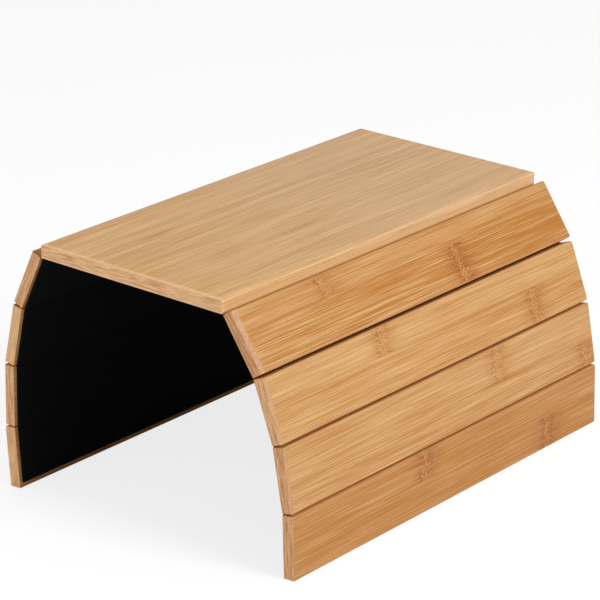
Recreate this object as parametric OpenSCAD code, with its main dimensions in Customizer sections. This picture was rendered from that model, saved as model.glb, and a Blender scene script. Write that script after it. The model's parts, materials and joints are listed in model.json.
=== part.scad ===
// Flexible tray for a sofa arm: a bamboo board with four bamboo slats on each side,
// all glued to one felt lining that bends between them.
// Millimetres. X runs across the tray, Y along the slats and Z up. The tray stands on
// z = 0, centred on the origin, with its open front towards -Y.

/* [Top board] */
// Width of the top board, across the slats
board_w = 161.5; // [120:0.5:260]
// Thickness of the top board
board_t = 10; // [7:0.5:14]
// Bevel round the upper edges of the top board
board_ease = 1.5; // [0.4:0.1:2.5]

/* [Slats] */
// Length of the board and of every slat, front to back
tray_d = 350; // [250:5:450]
// Width of one slat
slat_w = 45.5; // [30:0.5:60]
// Thickness of one slat
slat_t = 9; // [6:0.5:12]
// Open gap between two neighbours when the tray lies flat
slat_gap = 0.4; // [0.2:0.1:2]
// Bevel along the outer long edges of a slat
long_ease = 1; // [0.4:0.1:2]
// Bevel across the front and back ends of a slat's outer face
end_ease = 2; // [0.4:0.1:3]

/* [All bamboo] */
// Bevel round the lower edges, where the felt is glued on
under_ease = 0.6; // [0.2:0.1:1.5]
// Bevel on the four upright corners of the board and the slats
corner_ease = 1.2; // [0.3:0.1:2.5]

/* [Felt lining] */
// Thickness of the felt
felt_t = 1.5; // [1:0.1:2.5]
// Bare bamboo left between the felt and the front and back ends
felt_end_margin = 3; // [1:0.5:12]
// Bare bamboo left below the felt on the lowest slats
felt_foot_margin = 4; // [2:0.5:12]
// Width of the strip of felt that does the bending at each fold
fold_w = 4; // [4:0.5:8]

/* [Stance of the right side] */
// Bend of the fold between the board and the first slat
right_fold_1_angle = 55.5; // [20:0.5:75]
// Bend of the second fold
right_fold_2_angle = 13.5; // [0:0.5:30]
// Bend of the third fold
right_fold_3_angle = 10; // [0:0.5:30]
// Bend of the fold above the lowest slat
right_fold_4_angle = 8.5; // [0:0.5:30]

/* [Stance of the left side] */
// Bend of the fold between the board and the first slat
left_fold_1_angle = 65.5; // [20:0.5:75]
// Bend of the second fold
left_fold_2_angle = 13; // [0:0.5:30]
// Bend of the third fold
left_fold_3_angle = 11; // [0:0.5:30]
// Bend of the fold above the lowest slat
left_fold_4_angle = 5.5; // [0:0.5:30]

/* [Colours] */
// Colour of the top board
board_colour = "#D9B183"; // [#D9B183:Pale bamboo, #C8935A:Caramel bamboo]
// Colour of the highest and lowest slat on each side
deep_slat_colour = "#C8935A"; // [#C8935A:Caramel bamboo, #D9B183:Pale bamboo]
// Colour of the two slats between them
mid_slat_colour = "#D3A368"; // [#D3A368:Honey bamboo, #C8935A:Caramel bamboo]
// Colour of the felt
felt_colour = "#141414"; // [#141414:Black, #6B6B6B:Grey, #8A6D4F:Brown]

/* [Hidden] */

// The right side runs towards +X and the left side towards -X
right = 1;
left = -1;

// Clearance between a fold strip and the felt and bamboo next to it
fold_clear = 0.05;
// How far one eased shape reaches past the others that trim it
over = 1;

right_angles = [right_fold_1_angle, right_fold_2_angle, right_fold_3_angle, right_fold_4_angle];
left_angles = [left_fold_1_angle, left_fold_2_angle, left_fold_3_angle, left_fold_4_angle];
last = len(right_angles) - 1;

// From one fold to the next
slat_pitch = slat_w + slat_gap;
// From the middle of the board to its first fold
first_fold = (board_w + slat_gap) / 2;
felt_d = tray_d - 2 * felt_end_margin;
// Where the felt on a slat starts and ends, measured from the fold above it
felt_start = fold_w / 2;
felt_stop = slat_pitch - fold_w / 2;
felt_last_stop = slat_gap / 2 + slat_w - felt_foot_margin;

// Section of a slab from x = 0 to w and from z = 0 to h, with bevelled corners
function slab(w, h, upper, lower) = [
    [lower, 0], [w - lower, 0], [w, lower], [w, h - upper],
    [w - upper, h], [upper, h], [0, h - upper], [0, lower]
];

function angles(side) = side == right ? right_angles : left_angles;

// Angle of slat i below the plane of the board
function slope(side, i) = i < 0 ? 0 : slope(side, i - 1) + angles(side)[i];

// Fold above slat i, in the plane across the slats, as if on the right side
function fold_at(side, i) =
    i == 0
        ? [first_fold, 0]
        : fold_at(side, i - 1)
            + slat_pitch * [cos(slope(side, i - 1)), -sin(slope(side, i - 1))];

// A point of slat i's own section, seen from the board
function from_slat(side, i, p) =
    let (a = slope(side, i), f = fold_at(side, i))
    [side * (f.x + p.x * cos(a) + p.y * sin(a)), f.y - p.x * sin(a) + p.y * cos(a)];

function felt_end(i) = i == last ? felt_last_stop : felt_stop;

// Outermost points of one slat with its felt
function slat_points(side, i) = concat(
    [for (p = slab(slat_w, slat_t, long_ease, under_ease))
        from_slat(side, i, [slat_gap / 2 + p.x, p.y])],
    [for (x = [felt_start, felt_end(i)]) from_slat(side, i, [x, -felt_t])]
);

function side_points(side) = [for (i = [0:last]) each slat_points(side, i)];

board_points = concat(
    [for (p = slab(board_w, board_t, board_ease, under_ease)) [p.x - board_w / 2, p.y]],
    [for (s = [left, right]) [s * (first_fold - felt_start), -felt_t]]
);

// A point across the tray after the tray has leaned over, right side down
function leaned(p, lean) = [
    p.x * cos(lean) + p.y * sin(lean),
    p.y * cos(lean) - p.x * sin(lean)
];

function lowest(points, lean) =
    let (low = min([for (p = points) leaned(p, lean).y]))
    [for (p = points) if (leaned(p, lean).y == low) p][0];

// The lean that puts the lowest point of both sides on one level surface
function settled(lean, tries) =
    tries == 0
        ? lean
        : let (r = lowest(side_points(right), lean), l = lowest(side_points(left), lean))
            settled(atan((r.y - l.y) / (r.x - l.x)), tries - 1);

lean = settled(0, 6);

all_points = [
    for (p = concat(board_points, side_points(right), side_points(left))) leaned(p, lean)
];
middle_x = (min([for (p = all_points) p.x]) + max([for (p = all_points) p.x])) / 2;
lowest_z = min([for (p = all_points) p.y]);

// Stands a piece that is drawn in the board's own frame on the surface
module standing() {
    translate([-middle_x, 0, -lowest_z])
        rotate([0, lean, 0])
            children();
}

// Puts a piece that is drawn beside a fold, with the fold along Y, in its place
module on_slat(side, i) {
    fold = fold_at(side, i);
    standing()
        mirror([side == left ? 1 : 0, 0, 0])
            translate([fold.x, 0, fold.y])
                rotate([0, slope(side, i), 0])
                    children();
}

// A bamboo slab from x = 0 to w, with its underside on z = 0
module eased_slab(w, t, upper_long, upper_end) {
    intersection() {
        translate([0, tray_d / 2 + over, 0])
            rotate([90, 0, 0])
                linear_extrude(tray_d + 2 * over)
                    polygon(slab(w, t, upper_long, under_ease));
        translate([-over, -tray_d / 2, 0])
            rotate([90, 0, 90])
                linear_extrude(w + 2 * over)
                    polygon(slab(tray_d, t, upper_end, under_ease));
        translate([0, -tray_d / 2, -over])
            linear_extrude(t + 2 * over)
                polygon(slab(w, tray_d, corner_ease, corner_ease));
    }
}

// Felt below z = 0 between two distances from a fold
module felt_strip(x_start, x_stop) {
    translate([x_start, -felt_d / 2, -felt_t])
        cube([x_stop - x_start, felt_d, felt_t]);
}

module top_board() {
    color(board_colour)
        standing()
            translate([-board_w / 2, 0, 0])
                eased_slab(board_w, board_t, board_ease, board_ease);
}

module slat(side, i) {
    color(i == 0 || i == last ? deep_slat_colour : mid_slat_colour)
        on_slat(side, i)
            translate([slat_gap / 2, 0, 0])
                eased_slab(slat_w, slat_t, long_ease, end_ease);
}

module felt_top() {
    color(felt_colour)
        standing()
            felt_strip(felt_start - first_fold, first_fold - felt_start);
}

module felt_panel(side, i) {
    color(felt_colour)
        on_slat(side, i)
            felt_strip(felt_start, felt_end(i));
}

// The bending felt of one fold, from the felt above it to the felt below it
module felt_fold(side, i) {
    bend_angle = angles(side)[i];
    reach = fold_w / 2 - fold_clear;
    // The piece above the fold lies turned back by the bend
    function above(p) = [
        p.x * cos(bend_angle) - p.y * sin(bend_angle),
        p.x * sin(bend_angle) + p.y * cos(bend_angle)
    ];
    // Where the felt of both pieces meets at one depth below the bamboo
    function crease(depth) = [depth * tan(bend_angle / 2), -depth];
    color(felt_colour)
        on_slat(side, i)
            translate([0, felt_d / 2, 0])
                rotate([90, 0, 0])
                    linear_extrude(felt_d)
                        polygon([
                            crease(fold_clear),
                            above([-reach, -fold_clear]),
                            above([-reach, -felt_t]),
                            crease(felt_t),
                            [reach, -felt_t],
                            [reach, -fold_clear]
                        ]);
}

top_board();
slat(right, 0);  // right_slat_1
slat(right, 1);  // right_slat_2
slat(right, 2);  // right_slat_3
slat(right, 3);  // right_slat_4
slat(left, 0);  // left_slat_1
slat(left, 1);  // left_slat_2
slat(left, 2);  // left_slat_3
slat(left, 3);  // left_slat_4
felt_top();
felt_panel(right, 0);  // felt_right_1
felt_panel(right, 1);  // felt_right_2
felt_panel(right, 2);  // felt_right_3
felt_panel(right, 3);  // felt_right_4
felt_panel(left, 0);  // felt_left_1
felt_panel(left, 1);  // felt_left_2
felt_panel(left, 2);  // felt_left_3
felt_panel(left, 3);  // felt_left_4
felt_fold(right, 0);  // felt_fold_right_1
felt_fold(right, 1);  // felt_fold_right_2
felt_fold(right, 2);  // felt_fold_right_3
felt_fold(right, 3);  // felt_fold_right_4
felt_fold(left, 0);  // felt_fold_left_1
felt_fold(left, 1);  // felt_fold_left_2
felt_fold(left, 2);  // felt_fold_left_3
felt_fold(left, 3);  // felt_fold_left_4
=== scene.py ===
"""Looks of a bamboo tray that folds over a sofa arm.

The measured frame gives every place and size. This file dresses it: nine planed and
lacquered bamboo slabs, and one black felt lining that bends between them.
"""

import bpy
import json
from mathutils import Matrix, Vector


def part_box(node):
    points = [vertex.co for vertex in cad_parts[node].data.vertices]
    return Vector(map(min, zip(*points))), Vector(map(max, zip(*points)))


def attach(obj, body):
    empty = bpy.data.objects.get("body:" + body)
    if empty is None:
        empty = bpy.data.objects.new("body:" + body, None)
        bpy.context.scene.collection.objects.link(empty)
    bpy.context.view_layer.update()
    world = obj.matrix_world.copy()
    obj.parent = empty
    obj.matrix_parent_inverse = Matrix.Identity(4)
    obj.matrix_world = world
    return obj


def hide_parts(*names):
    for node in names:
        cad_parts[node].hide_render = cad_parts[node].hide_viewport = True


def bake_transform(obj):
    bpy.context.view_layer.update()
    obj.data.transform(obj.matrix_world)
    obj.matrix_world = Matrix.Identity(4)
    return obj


bl_info = {
    "name": "Sofa Arm Tray",
    "version": (1, 0, 0),
    "blender": (4, 5, 0),
    "location": "3D View > Sidebar > Tray",
    "description": "Bamboo slabs on a felt lining, made round their measured frame",
    "category": "Add Mesh",
}

import json
import math
from collections import namedtuple

import bpy
from bpy.props import FloatProperty, FloatVectorProperty, PointerProperty
from mathutils import Matrix, Vector

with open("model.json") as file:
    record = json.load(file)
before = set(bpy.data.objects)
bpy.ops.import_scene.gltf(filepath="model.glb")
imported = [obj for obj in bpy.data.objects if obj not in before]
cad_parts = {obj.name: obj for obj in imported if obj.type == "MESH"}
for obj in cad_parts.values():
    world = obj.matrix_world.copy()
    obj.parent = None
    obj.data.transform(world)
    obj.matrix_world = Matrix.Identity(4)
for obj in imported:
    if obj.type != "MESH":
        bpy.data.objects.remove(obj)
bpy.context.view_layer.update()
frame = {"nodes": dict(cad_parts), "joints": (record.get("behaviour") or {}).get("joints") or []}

MM = 0.001
SIDES = ("right", "left")
SLATS_PER_SIDE = 4
GRAIN = "grain"


def linear(channel):
    """One channel of a screen colour, from 0 to 255, as the light it stands for."""
    c = channel / 255
    return c / 12.92 if c <= 0.04045 else ((c + 0.055) / 1.055) ** 2.4


def shade(red, green, blue):
    """A screen colour as Blender's own linear colour."""
    return tuple(linear(c) for c in (red, green, blue))


def colour(name, description, default):
    return FloatVectorProperty(
        name=name, description=description, subtype="COLOR", size=3, min=0, max=1, default=default
    )


def length(name, description, default):
    return FloatProperty(
        name=name, description=description, subtype="DISTANCE", unit="LENGTH", min=0, default=default
    )


# A strip of bamboo: where it starts across the slab and where its knuckle is along it, in
# millimetres, with the front at the negative end; how strongly the knuckle shows; how pale
# the strip is; how much paler it is at the back than at the front; and how streaky it is
Strip = namedtuple("Strip", "start knuckle mark pale drift streaks")

# A slat: its strips from the fold downwards; how pale its sawn ends are; and in millimetres
# how far its planed front end reaches over the face, and the radius of its outer edge at the
# fold and of its back corner there
Slat = namedtuple("Slat", "strips ends front edge corner")

SLATS = {
    "right_slat_1": Slat(
        (Strip(0, -87, 0.75, 0.31, -0.1, 0.8), Strip(16.7, 49, 1.1, 0.165, -0.2, 1.45)), 0.16, 4.2, 2, 1.1
    ),
    "right_slat_2": Slat(
        (Strip(0, -55, 0.95, 0.5, 0, 0.75), Strip(19.7, 113, 0.95, 0.38, -0.06, 0.8)), 0.57, 2.4, 1.4, 3.6
    ),
    "right_slat_3": Slat(
        (Strip(0, 59, 0.8, 0.43, 0, 0.8), Strip(25.7, 164, 0.85, 0.37, 0, 0.95)), 0.4, 2.4, 1.4, 1.1
    ),
    "right_slat_4": Slat(
        (Strip(0, -33.5, 1, 0.13, 0.06, 1), Strip(21.2, 113, 1.05, 0.12, 0, 0.9)), 0.4, 0, 1.4, 1.1
    ),
    "left_slat_1": Slat(
        (Strip(0, 96, 0.8, 0.26, 0.06, 1.2), Strip(22, -61, 0.9, 0.2, 0, 1)), 0.45, 2.6, 1.4, 1.1
    ),
    "left_slat_2": Slat(
        (Strip(0, -118, 0.7, 0.4, 0, 0.8), Strip(18, 27, 0.9, 0.45, -0.06, 0.9)), 0.75, 2.4, 1.4, 1.1
    ),
    "left_slat_3": Slat(
        (Strip(0, 12, 0.9, 0.44, 0, 1), Strip(24, -142, 0.7, 0.36, 0, 0.8)), 0.48, 2.4, 1.4, 1.1
    ),
    "left_slat_4": Slat(
        (Strip(0, 71, 0.8, 0.2, 0, 0.9), Strip(20, -94, 0.9, 0.16, 0.04, 1.1)), 0.65, 0, 1.4, 1.1
    ),
}


class TrayBamboo(bpy.types.PropertyGroup):
    """Sizes and colours of the bamboo."""

    slat_slope: FloatProperty(
        name="Slat slope", description="Drop of a slat's planed end for its reach", default=0.34
    )
    board_drop: length("Board edge drop", "How far the board's edges are planed down", 0.9 * MM)
    board_reach: length("Board edge reach", "How far they are planed over its top", 2.6 * MM)
    board_reach_right: length("Right edge reach", "The same at its right edge", 4 * MM)
    long_round: length("Long edge rounding", "Radius along the outer long edges", 1.4 * MM)
    under_round: length("Lower edge rounding", "Radius beside the felt", 0.5 * MM)
    corner_round: length("Corner rounding", "Radius of the upright corners", 1.1 * MM)
    soft_round: length("End rounding", "Radius along the ends and planed edges", 0.6 * MM)
    narrow_strip: length("Board strip", "Width of one strip in the board", 6.2 * MM)
    slat_deep: colour("Deep slat", "The darkest fibres of the slats", shade(180, 116, 37))
    slat_pale: colour("Pale slat", "The lightest fibres of the slats", shade(223, 183, 129))
    # Painted shade: the slats' long sides at the folds are coloured darker and more orange, standing in for the
    # shade inside the gaps
    painted_slat_gap_shade: colour("Slat side", "Sawn long sides of the slats", shade(197, 131, 64))
    slat_worn: colour("Worn slat", "Sanded wood along the slats' edges", shade(197, 152, 109))
    pale_end: colour("Pale slat's end", "Sanded wood at a pale slat's ends", shade(190, 146, 103))
    deep_end: colour("Deep slat's end", "Sanded wood at a deep slat's ends", shade(172, 120, 74))
    board_deep: colour("Deep board", "The darkest fibres of the board", shade(197, 142, 77))
    board_pale: colour("Pale board", "The lightest fibres of the board", shade(243, 199, 143))
    # Painted light: the board's long sides are made paler towards their foot, cancelling the shade that falls
    # there beside the slats
    painted_board_side_light: colour("Board side", "Long sides of the board", shade(233, 199, 149))
    # Sanded wood along the board's edges, pale enough to be also a painted highlight of its rounded edges
    board_worn_and_highlight: colour("Worn board", "Sanded wood along the board's edges", shade(229, 188, 141))
    # The dark fibres' colour, which also darkens the feet of the sides at the folds as painted shade
    stain_and_shade: colour("Stain", "What dark fibres multiply the wood's colour by", (0.76, 0.54, 0.26))
    knuckle_light: colour("Knuckle line", "Light fibres at a knuckle", shade(218, 163, 91))
    end_pale: colour("Pale end grain", "The lightest sawn fibres", shade(222, 177, 128))
    end_deep: colour("Deep end grain", "The darkest sawn fibres", shade(172, 114, 67))
    end_pore: colour("Pores", "Pores in the end grain", shade(142, 88, 50))
    # Painted sheen: a pale colour mixed into the board's top towards the back, standing in for the reflection in
    # its lacquer
    painted_sheen: colour("Sheen", "What the board's lacquer picks up towards the back", shade(210, 222, 230))


class TrayFelt(bpy.types.PropertyGroup):
    """Sizes and colours of the felt lining."""

    cell: length("Cell", "Size of one face of the felt's mesh", 1.5 * MM)
    bend_half: length("Bend", "Half the width of felt that bends at a fold", 2.5 * MM)
    black: colour("Felt", "Colour of the felt", (0.004, 0.004, 0.0045))
    fibre: colour("Fibre", "Colour of its loose fibres", (0.012, 0.012, 0.013))


class TrayStage(bpy.types.PropertyGroup):
    """Camera, light and floor."""

    azimuth: FloatProperty(
        name="Azimuth", description="Turn of the camera round the tray", subtype="ANGLE",
        default=math.radians(39.42),
    )
    elevation: FloatProperty(
        name="Elevation", description="Height of the camera above the horizon", subtype="ANGLE",
        default=math.radians(19.732),
    )
    roll: FloatProperty(
        name="Roll", description="Turn of the camera about its own axis", subtype="ANGLE",
        default=math.radians(-0.667),
    )
    distance: length("Distance", "From the camera to the point it looks at", 2.0727)
    aim: FloatVectorProperty(
        name="Aim", description="The point the camera looks at", subtype="XYZ", unit="LENGTH",
        default=(-0.0083, 0.0027, 0.11455),
    )
    lens: FloatProperty(name="Lens", description="Focal length in mm", default=175.07)
    sky: FloatProperty(name="Sky", description="Strength of the light all round", default=0.38)
    right_lamp: FloatProperty(name="Right lamp", description="Its power in watts", default=41)
    right_place: FloatVectorProperty(
        name="Right lamp's place", description="Where it hangs", subtype="XYZ", unit="LENGTH",
        default=(2.05, 0, 1.6),
    )
    front_lamp: FloatProperty(name="Front lamp", description="Its power in watts", default=28)
    front_place: FloatVectorProperty(
        name="Front lamp's place", description="Where it stands", subtype="XYZ", unit="LENGTH",
        default=(-0.3, -2.5, 0.3),
    )
    top_lamp: FloatProperty(name="Top lamp", description="Its power in watts", default=7)
    top_place: FloatVectorProperty(
        name="Top lamp's place", description="Where it hangs", subtype="XYZ", unit="LENGTH",
        default=(0, 0, 2.6),
    )
    lamp_size: length("Lamp size", "Width of each lamp", 1)
    floor_size: length("Floor", "Width of the floor", 12)
    floor_colour: colour("Floor", "Colour of the floor", (0.8, 0.8, 0.8))
    floor_glow: FloatProperty(
        name="Floor glow", description="Brightness that the camera sees in the floor", default=1.146
    )
    floor_share: FloatProperty(
        name="Floor glow share", description="Share of that brightness in the floor", default=0.7
    )


class Socket:
    """An output of a material's node, so that sums on a surface read as Python."""

    def __init__(self, finish, output):
        self.finish = finish
        self.output = output

    def __add__(self, other):
        return self.finish.math("ADD", self, other)

    def __sub__(self, other):
        return self.finish.math("SUBTRACT", self, other)

    def __rsub__(self, other):
        return self.finish.math("SUBTRACT", other, self)

    def __mul__(self, other):
        return self.finish.math("MULTIPLY", self, other)

    def __truediv__(self, other):
        return self.finish.math("DIVIDE", self, other)

    def __lt__(self, other):
        return self.finish.math("LESS_THAN", self, other)

    def __gt__(self, other):
        return self.finish.math("GREATER_THAN", self, other)

    def __abs__(self):
        return self.finish.math("ABSOLUTE", self)

    def __neg__(self):
        return self.finish.math("MULTIPLY", self, -1)

    __radd__ = __add__
    __rmul__ = __mul__

    def exp(self):
        return self.finish.math("EXPONENT", self)

    def floor(self):
        return self.finish.math("FLOOR", self)


class Finish:
    """A material, and the nodes that make it."""

    def __init__(self, name):
        self.material = bpy.data.materials.new(name)
        self.material.use_nodes = True
        self.tree = self.material.node_tree
        self.tree.nodes.clear()

    def add(self, kind, settings=None, inputs=None, output=0):
        """Adds one node with its settings, then its sockets' values or links."""
        node = self.tree.nodes.new("ShaderNode" + kind)
        for name, value in (settings or {}).items():
            setattr(node, name, value)
        for name, value in (inputs or {}).items():
            if isinstance(value, Socket):
                self.tree.links.new(value.output, node.inputs[name])
            else:
                node.inputs[name].default_value = value
        return Socket(self, node.outputs[output]) if node.outputs else node

    def math(self, operation, a, b=None, clamp=False):
        inputs = {0: a} if b is None else {0: a, 1: b}
        return self.add("Math", {"operation": operation, "use_clamp": clamp}, inputs)

    def clamp(self, value):
        return self.math("ADD", value, 0, clamp=True)

    def ramp(self, value, start, stop):
        """0 at start and 1 at stop, smoothly, whichever of the two is larger."""
        low, high = (0, 1) if start < stop else (1, 0)
        inputs = {0: value, 1: min(start, stop), 2: max(start, stop), 3: low, 4: high}
        return self.add("MapRange", {"interpolation_type": "SMOOTHSTEP"}, inputs)

    def hill(self, distance, width):
        """1 where the distance is 0, falling off to nothing past the width."""
        x = distance / width
        return (-(x * x)).exp()

    def mix(self, share, a, b, blend="MIX"):
        """Colour a, and colour b by its share."""
        a, b = (c if isinstance(c, Socket) else (*c, 1) for c in (a, b))
        settings = {"data_type": "RGBA", "blend_type": blend}
        return self.add("Mix", settings, {0: share, 6: a, 7: b}, output=2)

    def vector(self, x, y, z):
        return self.add("CombineXYZ", inputs={0: x, 1: y, 2: z})

    def noise(self, place, detail=2.0, roughness=0.5, distortion=0.0):
        inputs = {
            "Vector": place, "Scale": 1, "Detail": detail,
            "Roughness": roughness, "Distortion": distortion,
        }
        return self.add("TexNoise", inputs=inputs)

    def surface(self, shader):
        self.add("OutputMaterial", inputs={"Surface": shader})
        return self.material


class Grain(namedtuple("Grain", "across along up")):
    """Place in a slab in millimetres: across it, along it and up through it."""

    @classmethod
    def read(cls, f):
        parts = f.add("SeparateXYZ", inputs={0: f.add("Attribute", {"attribute_name": GRAIN}, output=1)})
        return cls(*(Socket(f, o) / MM for o in parts.output.node.outputs))

    def spots(self, f, across, along, shift):
        """A place for noise whose spots are this wide and this long in millimetres."""
        return f.vector(self.across / across + shift, self.along / along + shift, self.up / across)


def stepped(across, starts, values):
    """The value of the strip that a point lies in."""
    total = values[0]
    for start, before, after in zip(starts[1:], values, values[1:]):
        total = (across > start) * (after - before) + total
    return total


# What a layout of strips gives at a point: how pale the strip is, how far its knuckle is and
# how strong, a shift for its noise, how streaky it is, and whether the point is on a seam
Layout = namedtuple("Layout", "pale away mark shift streaks seam")


def wide_strips(f, grain, strips, depth, seed):
    starts, knuckles, marks, pales, drifts, streaks = zip(*strips)
    back = grain.along / depth
    pale = stepped(grain.across, starts, pales) + stepped(grain.across, starts, drifts) * back
    away = grain.along - stepped(grain.across, starts, knuckles)
    mark = stepped(grain.across, starts, marks)
    shift = stepped(grain.across, starts, [seed + 7.3 * i for i in range(len(strips))])
    streaky = stepped(grain.across, starts, streaks)
    return Layout(pale, away, mark, shift, streaky, f.hill(grain.across - starts[1], 0.3))


def narrow_strips(f, grain, width, seed):
    """Many strips stood on edge, each a little paler or deeper, where no knuckle shows."""
    place = grain.across / width
    number = place.floor()
    chance = f.add("TexWhiteNoise", {"noise_dimensions": "1D"}, {"W": number + seed})
    edge = f.ramp(abs(place - number - 0.5), 0.46, 0.5)
    return Layout(chance * 0.24 + 0.38, None, None, number * 3.7 + seed, 0.9, edge * chance)


# The colours of one kind of slab: its fibres, its sanded long edges and ends (on the board partly a painted
# highlight), and its long sides at its folds from so many millimetres below the face (painted shade on a slat,
# painted light on the board)
Tints = namedtuple("Tints", "deep pale edge end side below folds")


def knuckle(f, grain, face, layout, s):
    """Lays a knuckle over a face: freckled bands beside a broken, pale, crooked line."""
    away, mark, shift = layout.away, layout.mark, layout.shift
    freckles = f.ramp(f.noise(grain.spots(f, 1.1, 2.2, shift), detail=2), 0.50, 0.60)
    flecks = f.ramp(f.noise(grain.spots(f, 1.0, 1.3, shift + 5), detail=1), 0.48, 0.56)
    tails = f.ramp(f.noise(grain.spots(f, 0.8, 14, shift), detail=2), 0.50, 0.66)
    halo = f.hill(away - 1, 13) * mark * mark
    bands = (f.hill(away + 4.2, 3.6) + f.hill(away - 5.4, 4) * 0.8) * freckles * mark
    tail = (f.hill(away - 11, 9) + f.hill(away + 9, 6) * 0.7) * tails * mark
    middle = f.hill(away, 4) * freckles * mark
    line = (f.hill(away + 0.8, 1.1) + f.hill(away - 2.4, 1.0) * 0.8) * flecks * mark
    for share in (halo * 0.52, tail * 0.6, bands, middle * 0.8):
        face = f.mix(f.clamp(share), face, s.stain_and_shade, "MULTIPLY")
    face = f.mix(f.clamp(line * 0.9), face, s.knuckle_light)
    return face, line * 0.8 - bands * 0.5


def bamboo(name, size, lay, tints, ends, reach, s, seed, painted_sheen=0):
    """Lacquered bamboo with its fibres, knuckles, sawn ends and sanded edges, and painted light: a painted sheen
    and a painted highlight along the edges on the board, painted shade on the slats' sides and at the feet of the
    sides at the folds, and painted light on the board's sides.
    """
    f = Finish(name)
    grain = Grain.read(f)
    width, depth, thickness = (side / MM for side in size)
    layout = lay(f, grain)
    bent = grain
    if layout.away is not None:
        crooked = f.noise(f.vector(grain.across / 2.6, seed, grain.up / 2.6), detail=2) - 0.5
        layout = layout._replace(away=layout.away + crooked * 13)
        swerve = f.noise(grain.spots(f, 2.6, 8, layout.shift), detail=1) - 0.5
        turn = f.hill(layout.away, 10) * layout.mark * swerve * 4.5
        bent = grain._replace(across=grain.across + turn)
    shift = layout.shift
    clouds = f.noise(bent.spots(f, 10, 90, shift), detail=1) - 0.5
    bands = f.noise(bent.spots(f, 2.9, 200, shift), detail=0) - 0.5
    fibres = f.noise(bent.spots(f, 0.55, 70, shift + 3), detail=1, roughness=0.7) - 0.5
    hairs = f.noise(bent.spots(f, 0.6, 40, shift + 8), detail=1)
    tone = layout.pale + clouds * 0.34 + (bands * 0.08 + fibres * 2.1) * layout.streaks
    face = f.mix(f.clamp(tone), tints.deep, tints.pale)
    dark = f.ramp(hairs, 0.56, 0.76) * layout.streaks * 0.6 + layout.seam * 0.6
    face = f.mix(f.clamp(dark), face, s.stain_and_shade, "MULTIPLY")
    relief = fibres * 1.2 + bands * 0.5 - layout.seam
    if layout.away is not None:
        face, marks = knuckle(f, bent, face, layout, s)
        relief = relief + marks
    # Painted sheen: the board's top is mixed towards the sheen colour towards the back, standing in for the
    # reflection in its lacquer
    if painted_sheen:
        face = f.mix(f.ramp(grain.along, -depth / 2, depth / 4) * painted_sheen, face, s.painted_sheen)
    # Sanded edges are paler than the lacquered faces; on the board the pale band along them is also a painted
    # highlight of its rounded edges
    from_front = grain.along + depth / 2
    from_back = depth / 2 - grain.along
    from_side = width / 2 - abs(grain.across - width / 2)
    outer = f.ramp(grain.up, thickness - 2.4, thickness - 1.2)
    rubbed = f.noise(grain.spots(f, 1.6, 5, seed), detail=2) * 1.2 + 0.1
    at_end = (f.ramp(from_front, reach + 0.5, reach - 0.4) + f.ramp(from_back, 1.3, 0.4)) * outer
    at_side = f.ramp(from_side, 1.7, 0.6) * outer
    face = f.mix(f.clamp(at_end * rubbed * 0.85), face, tints.end)
    face = f.mix(f.clamp(at_side * rubbed * 0.5), face, tints.edge)
    # Painted light and shade on the long sides at the folds: a slat's sides take a darker painted gap shade, the
    # board's sides a paler painted light towards their foot, against the shade there
    from_fold = from_side if tints.folds == 2 else grain.across
    low = f.ramp(grain.up, thickness - tints.below, thickness - 2.6 * tints.below)
    face = f.mix(f.ramp(from_fold, 0.4, 0.1) * low * 0.85, face, tints.side)
    # Painted shade: the foot of each side at a fold is darkened by the dark fibres' colour, standing in for the
    # shadow in the gap beside the felt
    painted_fold_shade = f.ramp(from_fold, 0.8, 0.4) * f.ramp(grain.up, 1.9, 1.1)
    face = f.mix(painted_fold_shade, face, s.stain_and_shade, "MULTIPLY")
    # Sawn ends show the layers and the pores
    layers = f.noise(f.vector(grain.across / 16 + seed, seed, grain.up / 1.5), detail=2) - 0.5
    blotches = f.noise(f.vector(grain.across / 1.4, seed, grain.up / 1.0), detail=2) - 0.5
    pores = f.add("TexVoronoi", inputs={"Vector": f.vector(grain.across, seed, grain.up), "Scale": 1.9})
    pore = f.ramp(pores, 0.34, 0.12)
    sawn = f.mix(f.clamp(layers * 2.4 + blotches * 1.1 + ends), s.end_deep, s.end_pale)
    sawn = f.mix(pore * 0.3, sawn, s.end_pore)
    foot = f.ramp(grain.up, 1.5, 0.5)
    sawn = f.mix(foot * 0.45, sawn, tints.edge)
    end = f.ramp(abs(grain.along), depth / 2 - 0.5, depth / 2 - 0.15)
    gloss = 0.45 - fibres * 0.3 + end * 0.2 + at_end * 0.08
    height = relief * (1 - end) - pore * end * 0.6
    bump = f.add("Bump", inputs={"Strength": 0.3, "Distance": 0.06 * MM, "Height": height})
    inputs = {"Base Color": f.mix(end, face, sawn), "Roughness": gloss, "Normal": bump}
    inputs.update({"Coat Weight": 0.1, "Coat Roughness": 0.3})
    return f.surface(f.add("BsdfPrincipled", inputs=inputs))


def felt_finish(settings):
    """Pressed black felt with a mat of loose fibres."""
    f = Finish("black_felt")
    place = f.add("Attribute", {"attribute_name": GRAIN}, output=1)

    def mat(per_metre, detail, roughness, twist):
        scaled = f.add("VectorMath", {"operation": "SCALE"}, {0: place, "Scale": per_metre})
        return f.noise(scaled, detail, roughness, twist)

    coarse, nap, fibres = mat(160, 3, 0.5, 0), mat(420, 2, 0.5, 0), mat(1500, 4, 0.65, 1.6)
    hair = f.ramp(fibres, 0.5, 0.78)
    tone = f.mix(f.clamp(hair * 0.7 + (coarse - 0.5) * 0.5), settings.black, settings.fibre)
    height = fibres * 0.6 + nap * 0.5 + coarse * 0.5
    bump = f.add("Bump", inputs={"Strength": 0.6, "Distance": 0.25 * MM, "Height": height})
    inputs = {"Base Color": tone, "Roughness": 0.96, "Normal": bump, "Specular IOR Level": 0.05}
    inputs.update({"Sheen Weight": 0.015, "Sheen Roughness": 0.6})
    return f.surface(f.add("BsdfPrincipled", inputs=inputs))


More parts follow.
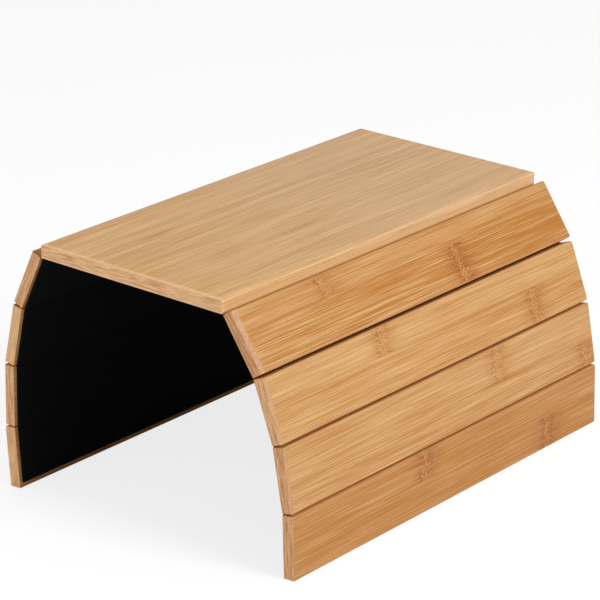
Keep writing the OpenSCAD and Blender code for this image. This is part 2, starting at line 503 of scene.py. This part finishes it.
class Slab:
    """Where a slab of the frame lies: a corner, its three directions and its three sizes."""

    def __init__(self, node, outward, downhill):
        mesh = frame["nodes"][node].data
        spots = sorted({(round(v.co.x, 6), round(v.co.y, 6), round(v.co.z, 6)) for v in mesh.vertices})
        middle = sum((Vector(p) for p in spots), Vector()) / len(spots)
        xx = sum((p[0] - middle.x) ** 2 for p in spots)
        zz = sum((p[2] - middle.z) ** 2 for p in spots)
        xz = sum((p[0] - middle.x) * (p[2] - middle.z) for p in spots)
        turn = math.atan2(2 * xz, xx - zz) / 2
        across = Vector((math.cos(turn), 0, math.sin(turn)))
        self.across = across if across.dot(downhill) > 0 else -across
        up = Vector((-self.across.z, 0, self.across.x))
        self.up = up if up.dot(outward) > 0 else -up
        self.along = self.up.cross(self.across)
        directions = (self.across, self.along, self.up)
        reach = [sorted(Vector(p).dot(d) for p in spots) for d in directions]
        self.size = Vector([r[-1] - r[0] for r in reach])
        corner = self.across * reach[0][0] + self.up * reach[2][0]
        self.place = Matrix.Translation(corner) @ Matrix((self.across, self.along, self.up)).transposed().to_4x4()


def slab_of(side, number):
    """Slat 1 to 4 of a side, or the board as number 0. Across runs down from the fold."""
    if number == 0:
        return Slab("top_board", Vector((0, 0, 1)), Vector((1, 0, 0)))
    out = Vector((1 if side == "right" else -1, 0, 0))
    return Slab(f"{side}_slat_{number}", out, Vector((0, 0, -1)) + out * 0.2)


def deselect_all():
    if bpy.context.mode != "OBJECT":
        bpy.ops.object.mode_set(mode="OBJECT")
    bpy.ops.object.select_all(action="DESELECT")


def plane_off(edge, normal):
    """Cuts away what lies beyond a plane, and closes the cut."""
    bpy.ops.mesh.select_all(action="SELECT")
    bpy.ops.mesh.bisect(
        plane_co=edge, plane_no=Vector(normal).normalized(), clear_outer=True, use_fill=True
    )


def apply_modifiers(piece):
    deselect_all()
    bpy.context.view_layer.objects.active = piece
    piece.select_set(True)
    for modifier in list(piece.modifiers):
        bpy.ops.object.modifier_apply(modifier=modifier.name)


def add_slab(name, slab, planed, radii, settings):
    """Planes a slab from x = 0 with its underside on z = 0, then puts it in its place.

    Four pairs give the reach and the drop of its planed edges, or 0 where there is none: at the
    front, at the back, and beside the first and the last fibre. The radii are those of the
    outer long edge and of the back corner beside the first fibre.
    """
    width, depth, thickness = slab.size
    front_end = -1 if slab.along.y > 0 else 1
    deselect_all()
    bpy.ops.mesh.primitive_cube_add(
        size=1, location=(width / 2, 0, thickness / 2), scale=(width, depth, thickness)
    )
    piece = bpy.context.object
    piece.name = name
    piece.data.name = name
    bpy.ops.object.transform_apply(location=True, rotation=False, scale=True)
    bpy.ops.object.mode_set(mode="EDIT")
    edges = (
        (Vector((0, front_end * depth / 2, thickness)), Vector((0, front_end, 0))),
        (Vector((0, -front_end * depth / 2, thickness)), Vector((0, -front_end, 0))),
        (Vector((0, 0, thickness)), Vector((-1, 0, 0))),
        (Vector((width, 0, thickness)), Vector((1, 0, 0))),
    )
    for (edge, outward), (reach, drop) in zip(edges, planed):
        if reach:
            plane_off(edge - Vector((0, 0, drop)), outward * drop + Vector((0, 0, reach)))
    bpy.ops.object.mode_set(mode="OBJECT")
    back_corner = Vector((0, -front_end * depth / 2, 0))
    round_edges(piece, planed[2][0] > 0, radii, back_corner, settings)
    grain = piece.data.attributes.new(GRAIN, "FLOAT_VECTOR", "POINT")
    for vertex, spot in zip(piece.data.vertices, grain.data):
        spot.vector = (vertex.co.x, (slab.place @ vertex.co).y, vertex.co.z)
    piece.matrix_world = slab.place
    bpy.ops.object.transform_apply(location=True, rotation=True, scale=False)
    return piece


def round_edges(piece, planed_sides, radii, back_corner, settings):
    """Rounds each edge by its own radius, weighed against the largest."""
    first_edge, first_corner = radii
    largest = max(first_corner, settings.long_round, first_edge)
    weights = piece.data.attributes.new("bevel_weight_edge", "FLOAT", "EDGE")
    for edge in piece.data.edges:
        a, b = (piece.data.vertices[i].co for i in edge.vertices)
        middle = (a + b) / 2
        line = (b - a).normalized()
        if abs(line.z) > 0.99:
            at_corner = (middle - back_corner).xy.length < MM
            radius = first_corner if at_corner else settings.corner_round
        elif middle.z < 0.01 * MM:
            radius = settings.under_round
        elif abs(line.y) > 0.99 and not planed_sides:
            radius = first_edge if middle.x < MM else settings.long_round
        else:
            radius = settings.soft_round
        weights.data[edge.index].value = radius / largest
    bevel = piece.modifiers.new("Rounding", "BEVEL")
    bevel.width = largest
    bevel.segments = 4
    bevel.limit_method = "WEIGHT"
    bevel.use_clamp_overlap = False
    piece.modifiers.new("Flat faces", "WEIGHTED_NORMAL").keep_sharp = True
    deselect_all()
    bpy.context.view_layer.objects.active = piece
    piece.select_set(True)
    bpy.ops.object.shade_smooth()
    apply_modifiers(piece)


def dress(piece, material, body, slot, *nodes):
    piece.data.materials.clear()
    piece.data.materials.append(material)
    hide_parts(*nodes)
    if body:
        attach(piece, body)


class TRAY_OT_board(bpy.types.Operator):
    """Make the flat bamboo board on top"""

    bl_idname = "tray.board"
    bl_label = "Top Board"

    def execute(self, context):
        s = context.scene.tray_bamboo
        slab = slab_of("", 0)
        planed = [(s.board_reach, s.board_drop)] * 3 + [(s.board_reach_right, s.board_drop)]
        piece = add_slab("bamboo_board", slab, planed, (s.soft_round, s.corner_round), s)

        def lay(f, grain):
            return narrow_strips(f, grain, s.narrow_strip / MM, 11)

        tints = Tints(s.board_deep, s.board_pale, s.board_worn_and_highlight, s.board_worn_and_highlight, s.painted_board_side_light, 3, 2)
        material = bamboo(
            "bamboo_board", slab.size, lay, tints, 0.71, s.board_reach / MM, s, 11, painted_sheen=0.08
        )
        dress(piece, material, "board", "board_bamboo", "top_board")
        return {"FINISHED"}


class TRAY_OT_slats(bpy.types.Operator):
    """Make the four bamboo slats of each side"""

    bl_idname = "tray.slats"
    bl_label = "Slats"

    def execute(self, context):
        s = context.scene.tray_bamboo
        for seed, (node, slat) in enumerate(SLATS.items()):
            side, _, number = node.split("_")
            name = f"bamboo_{side}_{number}"
            slab = slab_of(side, int(number))
            front = slat.front * MM
            planed = [(front, front * s.slat_slope), (0, 0), (0, 0), (0, 0)]
            piece = add_slab(name, slab, planed, (slat.edge * MM, slat.corner * MM), s)

            def lay(f, grain):
                return wide_strips(f, grain, slat.strips, slab.size.y / MM, 23 + 5 * seed)

            outer_slat = int(number) in (1, SLATS_PER_SIDE)
            end = s.deep_end if outer_slat else s.pale_end
            folds = 1 if int(number) == SLATS_PER_SIDE else 2
            tints = Tints(s.slat_deep, s.slat_pale, s.slat_worn, end, s.painted_slat_gap_shade, 0.6, folds)
            reach = max(slat.front, 0.8)
            material = bamboo(name, slab.size, lay, tints, slat.ends, reach, s, 23 + 5 * seed)
            slot = "deep_slat_bamboo" if outer_slat else "mid_slat_bamboo"
            dress(piece, material, f"{side}_{number}", slot, node)
        return {"FINISHED"}


def smooth(t):
    t = min(1, max(0, t))
    return t * t * (3 - 2 * t)


class Fold:
    """A fold of the felt: its axis, the slab above it, and the bend to the slab below."""

    def __init__(self, side, number, half):
        joint = next(j for j in frame["joints"] if j["name"] == f"{side}_fold_{number}")
        self.axis = Vector(joint["pos_m"])
        above, below = slab_of(side, number - 1), slab_of(side, number)
        toward = 1 if side == "right" or number > 1 else -1
        self.down = above.across * toward
        self.up = above.up
        self.above, self.below = above, below
        self.bend = math.acos(max(-1, min(1, self.down.dot(below.across))))
        self.start = self.axis - self.down * half
        self.end = self.axis + below.across * half
        self.half = half

    def turned(self, s, h, share):
        """A point of the flat felt after this share of the bend."""
        angle = share * self.bend
        x = s * math.cos(angle) + h * math.sin(angle)
        z = -s * math.sin(angle) + h * math.cos(angle)
        return self.axis + self.down * x + self.up * z

    def bent(self, s, h):
        """Where a point of the flat felt lies, with its share of the bend eased smoothly across the fold."""
        chord = self.end - self.start
        share = 0 if s < 0 else 1
        for _ in range(24):
            point = self.turned(s, h, share)
            share = smooth((point - self.start).dot(chord) / chord.length_squared)
        return self.turned(s, h, share)


def add_felt(name, fold, before, after, felt_depth, thickness, settings):
    """A stretch of felt from before the fold to after it, cut flat and bent over the fold."""
    deselect_all()
    width = before + after
    bpy.ops.mesh.primitive_grid_add(
        size=1,
        x_subdivisions=round(width / settings.cell),
        y_subdivisions=round(felt_depth / settings.cell / 2),
        location=((after - before) / 2, 0, 0),
    )
    piece = bpy.context.object
    piece.name = name
    piece.data.name = name
    bpy.ops.transform.resize(value=(width, felt_depth, 1))
    bpy.ops.object.transform_apply(location=True, rotation=False, scale=True)
    thick = piece.modifiers.new("Felt", "SOLIDIFY")
    thick.thickness = thickness
    thick.offset = -1
    apply_modifiers(piece)
    grain = piece.data.attributes.new(GRAIN, "FLOAT_VECTOR", "POINT")
    for vertex, spot in zip(piece.data.vertices, grain.data):
        spot.vector = vertex.co
    places = {}
    for vertex in piece.data.vertices:
        key = (round(vertex.co.x, 6), round(vertex.co.z, 6))
        if key not in places:
            places[key] = fold.bent(*key)
        point = places[key]
        vertex.co = Vector((point.x, vertex.co.y, point.z))
    bpy.ops.object.mode_set(mode="EDIT")
    bpy.ops.mesh.select_all(action="SELECT")
    bpy.ops.mesh.normals_make_consistent(inside=False)
    bpy.ops.object.mode_set(mode="OBJECT")
    bpy.ops.object.shade_smooth_by_angle(angle=math.radians(50))
    return piece


class TRAY_OT_felt(bpy.types.Operator):
    """Make the felt lining, one stretch over each fold"""

    bl_idname = "tray.felt"
    bl_label = "Felt Lining"

    def execute(self, context):
        s = context.scene.tray_felt
        material = felt_finish(s)
        low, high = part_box("felt_top")
        felt_depth = high.y - low.y
        for side in SIDES:
            for number in range(1, SLATS_PER_SIDE + 1):
                fold = Fold(side, number, s.bend_half)
                sheet = Slab(f"felt_{side}_{number}", fold.below.up, fold.below.across)
                last = number == SLATS_PER_SIDE
                fold_to_slab = (fold.below.place.translation - fold.axis).dot(fold.below.across)
                before = fold.above.size.x / 2 + fold_to_slab
                after = fold_to_slab + fold.below.size.x / 2
                if last:
                    foot = sheet.place.translation - fold.axis
                    after = foot.dot(fold.below.across) + sheet.size.x
                piece = add_felt(
                    f"felt_{side}_{number}_lining", fold, before, after, felt_depth, sheet.size.z, s
                )
                above = "felt_top" if number == 1 else f"felt_{side}_{number - 1}"
                nodes = [above, f"felt_fold_{side}_{number}", f"felt_{side}_{number}"]
                dress(piece, material, None, "felt", *nodes)
                before + after
                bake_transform(piece)
        return {"FINISHED"}


class TRAY_OT_stage(bpy.types.Operator):
    """Set up the camera, the light and the floor"""

    bl_idname = "tray.stage"
    bl_label = "Stage"

    def execute(self, context):
        s = context.scene.tray_stage
        self.add_camera(context, s)
        self.add_floor(s)
        self.add_light(context, s)
        context.scene.view_settings.view_transform = "Standard"
        return {"FINISHED"}

    def add_camera(self, context, s):
        back = Vector((
            math.sin(s.azimuth) * math.cos(s.elevation),
            -math.cos(s.azimuth) * math.cos(s.elevation),
            math.sin(s.elevation),
        ))
        data = bpy.data.cameras.new("photo_camera")
        data.sensor_width = 36
        data.lens = s.lens
        camera = bpy.data.objects.new("photo_camera", data)
        turn = (-back).to_track_quat("-Z", "Y").to_matrix().to_4x4() @ Matrix.Rotation(s.roll, 4, "Z")
        camera.matrix_world = Matrix.Translation(Vector(s.aim) + back * s.distance) @ turn
        context.scene.collection.objects.link(camera)
        context.scene.camera = camera

    def add_floor(self, s):
        deselect_all()
        bpy.ops.mesh.primitive_plane_add(size=s.floor_size, location=(0, 0, 0))
        floor = bpy.context.object
        floor.name = "studio_floor"
        f = Finish("studio_floor")
        seen = f.add("LightPath", output=0)
        matt = f.add("BsdfDiffuse", inputs={"Color": (*s.floor_colour, 1)})
        glow = f.add("Emission", inputs={"Color": (1, 1, 1, 1), "Strength": s.floor_glow})
        look = f.add("MixShader", inputs={0: seen * s.floor_share, 1: matt, 2: glow})
        floor.data.materials.append(f.surface(look))

    def add_light(self, context, s):
        world = bpy.data.worlds.new("studio")
        context.scene.world = world
        world.use_nodes = True
        tree = world.node_tree
        tree.nodes.clear()
        path = tree.nodes.new("ShaderNodeLightPath")
        strength = tree.nodes.new("ShaderNodeMix")
        strength.inputs[2].default_value = s.sky
        strength.inputs[3].default_value = 1
        sky = tree.nodes.new("ShaderNodeBackground")
        sky.inputs["Color"].default_value = (1, 1, 1, 1)
        out = tree.nodes.new("ShaderNodeOutputWorld")
        tree.links.new(path.outputs["Is Camera Ray"], strength.inputs[0])
        tree.links.new(strength.outputs[0], sky.inputs["Strength"])
        tree.links.new(sky.outputs[0], out.inputs["Surface"])
        for name in ("right", "front", "top"):
            data = bpy.data.lights.new(name, "AREA")
            data.shape = "DISK"
            data.size = s.lamp_size
            data.energy = getattr(s, f"{name}_lamp")
            lamp = bpy.data.objects.new(name, data)
            place = Vector(getattr(s, f"{name}_place"))
            turn = place.to_track_quat("Z", "Y").to_matrix().to_4x4()
            lamp.matrix_world = Matrix.Translation(place) @ turn
            context.scene.collection.objects.link(lamp)


class TRAY_PT_panel(bpy.types.Panel):
    """The tray's pieces and their settings"""

    bl_idname = "TRAY_PT_panel"
    bl_label = "Sofa Arm Tray"
    bl_space_type = "VIEW_3D"
    bl_region_type = "UI"
    bl_category = "Tray"

    def draw(self, context):
        for group in ("tray_bamboo", "tray_felt", "tray_stage"):
            settings = getattr(context.scene, group)
            box = self.layout.box()
            for name in type(settings).__annotations__:
                box.prop(settings, name)
        for operator in (TRAY_OT_board, TRAY_OT_slats, TRAY_OT_felt, TRAY_OT_stage):
            self.layout.operator(operator.bl_idname)


GROUPS = {"tray_bamboo": TrayBamboo, "tray_felt": TrayFelt, "tray_stage": TrayStage}
CLASSES = (
    *GROUPS.values(), TRAY_OT_board, TRAY_OT_slats, TRAY_OT_felt, TRAY_OT_stage, TRAY_PT_panel,
)


def register():
    for cls in CLASSES:
        bpy.utils.register_class(cls)
    for name, group in GROUPS.items():
        setattr(bpy.types.Scene, name, PointerProperty(type=group))


def unregister():
    for name in GROUPS:
        delattr(bpy.types.Scene, name)
    for cls in reversed(CLASSES):
        bpy.utils.unregister_class(cls)


def main():
    register()
    bpy.ops.tray.stage()
    bpy.ops.tray.board()
    bpy.ops.tray.slats()
    bpy.ops.tray.felt()


if __name__ == "__main__":
    main()
